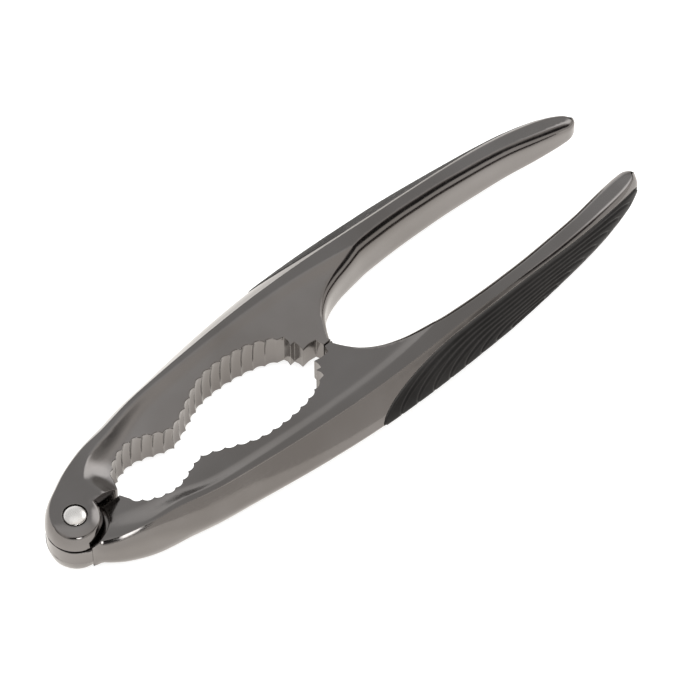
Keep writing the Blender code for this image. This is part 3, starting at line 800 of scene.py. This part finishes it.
def plated(name):
    # polished gunmetal plating on a casting: slow tone drift, fine polishing haze, faint
    # wipe marks, worn edges
    mat, tree, shader = new_material(name)
    coords = object_coords(tree)
    drift = noise(tree, coords, scale=32, detail=3, rough=0.5)
    haze = noise(tree, coords, scale=900, detail=4, rough=0.6)
    along_x = add_node(tree, "ShaderNodeMapping", {"Scale": (90, 1500, 1500), "Vector": coords})
    wipe = noise(tree, along_x.outputs["Vector"], scale=1.0, detail=4, rough=0.65, distortion=0.3)
    tone = mix(tree, remap(tree, drift, span=(0.35, 0.65)), GUNMETAL, WARM_GUNMETAL)

    # worn edges: a lighter, slightly rougher rub
    bevel = add_node(tree, "ShaderNodeBevel", {"Radius": 0.00022}, samples=6).outputs["Normal"]
    facing = add_node(tree, "ShaderNodeNewGeometry").outputs["Normal"]
    edge = remap(tree, dot(tree, bevel, facing), span=(0.995, 0.9))
    patchy = remap(tree, drift, span=(0.4, 0.6), to=(0.2, 0.8))
    wear = calc(tree, "MULTIPLY", edge, patchy)
    colour = mix(tree, calc(tree, "MULTIPLY", wear, 0.18), tone, WORN_METAL)

    haze_rough = remap(tree, haze, span=(0.3, 0.7),
                       to=(PLATING_ROUGH - 0.03, PLATING_ROUGH + 0.04))
    wipe_rough = remap(tree, wipe, span=(0.4, 0.75), to=(0.0, 0.05))
    polish = calc(tree, "ADD", haze_rough, wipe_rough)
    rough = calc(tree, "ADD", polish, calc(tree, "MULTIPLY", wear, 0.1))

    wiped = bump(tree, wipe, strength=0.12, distance=0.00003, normal=bevel)
    lumps = noise(tree, coords, scale=130, detail=2, rough=0.5)
    cast = bump(tree, lumps, strength=0.25, distance=0.0002, normal=wiped)
    feed_all(tree, shader, {
        "Base Color": colour, "Metallic": 1.0, "Roughness": rough, "Normal": cast})
    return mat


def bright_pin(name):
    # bright steel with turning rings and small dull spots
    mat, tree, shader = new_material(name)
    coords = object_coords(tree)
    rings = add_node(tree, "ShaderNodeTexWave",
                     {"Scale": 900, "Distortion": 1.5, "Vector": coords},
                     wave_type="RINGS", rings_direction="Z").outputs["Fac"]
    spots = noise(tree, coords, scale=1400, detail=4, rough=0.6)
    bright, dull = (0.86, 0.84, 0.815), (0.6, 0.585, 0.565)
    feed_all(tree, shader, {
        "Base Color": mix(tree, remap(tree, spots, span=(0.62, 0.72)), bright, dull),
        "Metallic": 1.0,
        "Roughness": remap(tree, spots, span=(0.3, 0.7), to=(0.2, 0.34)),
        "Normal": bump(tree, rings, strength=0.2, distance=0.00002)})
    return mat


def black_grip(name):
    # satin moulded plastic: fine spark grain, ridge tops painted lighter as a highlight, small tone
    # drift
    mat, tree, shader = new_material(name)
    coords = object_coords(tree)
    grain = noise(tree, coords, scale=5200, detail=3, rough=0.6)
    drift = noise(tree, coords, scale=80, detail=3, rough=0.5)
    deep, soft, ridge_highlight_colour = (0.005, 0.0047, 0.0045), (0.012, 0.0113, 0.011), (0.075, 0.071, 0.068)
    tone = mix(tree, remap(tree, drift, span=(0.35, 0.65)), deep, soft)
    pointiness = add_node(tree, "ShaderNodeNewGeometry").outputs["Pointiness"]
    # painted highlight: convex ridge tops get a lighter colour, which leaves the grooves darker as
    # painted shade
    painted_ridge_highlight = remap(tree, pointiness, span=(0.5, 0.56))
    feed_all(tree, shader, {
        "Base Color": mix(tree, calc(tree, "MULTIPLY", painted_ridge_highlight, 0.7), tone, ridge_highlight_colour),
        "Specular IOR Level": 0.19,
        "Roughness": remap(tree, grain, span=(0.3, 0.7), to=(0.36, 0.5)),
        "Normal": bump(tree, grain, strength=0.25, distance=0.00004)})
    return mat


def floor_paper(name):
    # glowing paper: plain light grey to the camera, warmer to all other rays, and then
    # brighter when met from steeply above
    mat, tree, shader = new_material(name)
    seen = add_node(tree, "ShaderNodeLightPath").outputs["Is Camera Ray"]
    incoming = add_node(tree, "ShaderNodeNewGeometry").outputs["Incoming"]
    look = add_node(tree, "ShaderNodeSeparateXYZ", {0: incoming}).outputs["Z"]
    shallow, steep = (0.48, 0.445, 0.41), (0.72, 0.68, 0.63)
    reflected = mix(tree, remap(tree, look, span=(0.45, 0.85)), shallow, steep)
    feed_all(tree, shader, {
        "Base Color": (0.5, 0.5, 0.495),
        "Roughness": 0.9,
        "Specular IOR Level": 0.1,
        "Emission Color": mix(tree, seen, reflected, (0.80, 0.80, 0.80)),
        "Emission Strength": 1.0})
    return mat


# ---------------------------------------------------------------- pieces
def place(obj, material, body, piece):
    obj.data.materials.append(material)
    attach(obj, body)
    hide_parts(piece)


for obj, side in zip(lever_castings(), ("fork", "tongue")):
    obj.data.materials.clear()
    casting = side + "_casting"
    place(obj, plated(casting + "_plating"), side + "_side", side + "_lever")

place(pin_mesh("pin_finished"), bright_pin("pin_bright_steel"), "fork_side", "hinge_pin")

for side in ("fork", "tongue"):
    grip = side + "_grip"
    pad = grip_pad(grip + "_pad")
    if side == "tongue":
        mirror_y(pad)
    place(pad, black_grip(grip + "_plastic"), side + "_side", grip)


# ---------------------------------------------------------------- studio, in metres
def add_floor():
    bm = bmesh.new()
    bmesh.ops.create_grid(bm, x_segments=8, y_segments=8, size=4.0)
    mesh = bpy.data.meshes.new("floor")
    bm.to_mesh(mesh)
    bm.free()
    floor = bpy.data.objects.new("floor", mesh)
    floor.location = (0, 0, -0.0002)
    bpy.context.collection.objects.link(floor)
    mesh.materials.append(floor_paper("floor_paper"))


# brightness of the surroundings: (z of the direction, level)
SKY_BANDS = [
    (0.0, 1.0), (0.15, 1.05), (0.32, 0.95), (0.52, 0.66), (0.86, 0.62), (0.94, 0.9), (1.0, 1.0)]
LOW_GREY, FRONT_GLOW = (0.36, 0.345, 0.33), (0.9, 0.865, 0.83)
FRONT_DARK = 0.96            # strength of the dark gap in front
# soft round panels: (direction, cosine at the full core, cosine at the rim, strength)
PANELS = [
    ((0.78, 0.02, 0.62), 0.985, 0.93, 1.3),
    ((-0.44, -0.86, 0.27), 0.992, 0.985, 6.0)]


def set_stop(stop, height, level):
    stop.position = height
    stop.color = (level, level, level, 1)


def front_gap(tree, x, y, z):
    # dark gap towards -y, under the overhead light; it reaches lower at both sides
    front = remap(tree, y, span=(-0.25, -0.5))
    below = remap(tree, z, span=(0.8, 0.7))
    left = remap(tree, x, span=(-0.05, -0.28), to=(0.0, 0.46))
    right = remap(tree, x, span=(0.27, 0.4), to=(0.0, 0.11))
    shifted = calc(tree, "ADD", z, calc(tree, "ADD", left, right))
    above = remap(tree, shifted, span=(0.5, 0.58))
    return calc(tree, "MULTIPLY", calc(tree, "MULTIPLY", front, below), above)


def panel_light(tree, direction):
    total = None
    for aim, core, rim, strength in PANELS:
        size = math.hypot(*aim)
        cosine = dot(tree, direction, tuple(part / size for part in aim))
        term = remap(tree, cosine, span=(rim, core), to=(0.0, strength))
        total = calc(tree, "ADD", total, term) if total else term
    return total


def add_sky():
    # plain studio surroundings as smooth bands over height, with a glow in front (-y)
    world = bpy.data.worlds.new("studio")
    bpy.context.scene.world = world
    world.use_nodes = True
    tree = world.node_tree
    direction = add_node(tree, "ShaderNodeTexCoord").outputs["Generated"]
    parts = add_node(tree, "ShaderNodeSeparateXYZ", {0: direction}).outputs
    x, y, z = parts["X"], parts["Y"], parts["Z"]

    bands = add_node(tree, "ShaderNodeValToRGB", {"Fac": z})
    bands.color_ramp.interpolation = "EASE"
    stops = bands.color_ramp.elements
    set_stop(stops[0], *SKY_BANDS[0])
    set_stop(stops[1], *SKY_BANDS[-1])
    for height, level in SKY_BANDS[1:-1]:
        set_stop(stops.new(height), height, level)

    # the bands show behind (+y) and high up, a plain mid grey elsewhere
    behind = remap(tree, y, span=(0.45, 0.8))
    high = remap(tree, z, span=(0.35, 0.5))
    back = mix(tree, calc(tree, "MAXIMUM", behind, high), LOW_GREY, bands.outputs["Color"])
    front = mix(tree, remap(tree, y, span=(0.1, -0.35)), back, FRONT_GLOW)
    gap = calc(tree, "MULTIPLY", front_gap(tree, x, y, z), FRONT_DARK)
    keep = calc(tree, "SUBTRACT", 1.0, gap)
    panels = panel_light(tree, direction)
    dimmed = mix(tree, 1.0, front, keep, blend="MULTIPLY")
    lit = mix(tree, 1.0, dimmed, panels, blend="ADD")
    feed_all(tree, tree.nodes["Background"], {"Color": lit, "Strength": 1.0})


def add_area(name, location, target, size, energy):
    # square soft light that leaves no reflection of itself
    data = bpy.data.lights.new(name, "AREA")
    data.shape = "RECTANGLE"
    data.size = size
    data.size_y = size
    data.energy = energy
    obj = bpy.data.objects.new(name, data)
    obj.location = location
    aim = Vector(target) - Vector(location)
    obj.rotation_euler = aim.to_track_quat("-Z", "Y").to_euler()
    obj.visible_glossy = False
    bpy.context.collection.objects.link(obj)


AZIMUTH, ELEVATION = math.radians(-41.2964), math.radians(55.889)
CAMERA_DISTANCE = 1.093135
CAMERA_TARGET = Vector((0.0748814, -0.00319985, HALF_T * MM))
SENSOR_MM, LENS_MM = 36.0, 257.142857


def add_camera():
    back = Vector((math.sin(AZIMUTH) * math.cos(ELEVATION),
                   -math.cos(AZIMUTH) * math.cos(ELEVATION), math.sin(ELEVATION)))
    data = bpy.data.cameras.new("camera")
    camera = bpy.data.objects.new("camera", data)
    bpy.context.collection.objects.link(camera)
    data.sensor_width = SENSOR_MM
    data.lens = LENS_MM
    data.clip_end = 20.0
    camera.location = CAMERA_TARGET + back * CAMERA_DISTANCE
    camera.rotation_euler = back.to_track_quat("Z", "Y").to_euler()
    bpy.context.scene.camera = camera


add_floor()
add_sky()
MIDDLE_X = 0.074             # the lights aim at the middle of the nutcracker's length
add_area("top_soft", location=(MIDDLE_X - 0.1, -0.1, 0.9), target=(MIDDLE_X, 0, 0),
         size=1.1, energy=9.0)
add_area("back_soft", location=(MIDDLE_X + 0.5, 0.8, 0.8), target=(MIDDLE_X, 0, 0),
         size=0.9, energy=4.0)
add_camera()
bpy.context.scene.view_settings.view_transform = "Standard"
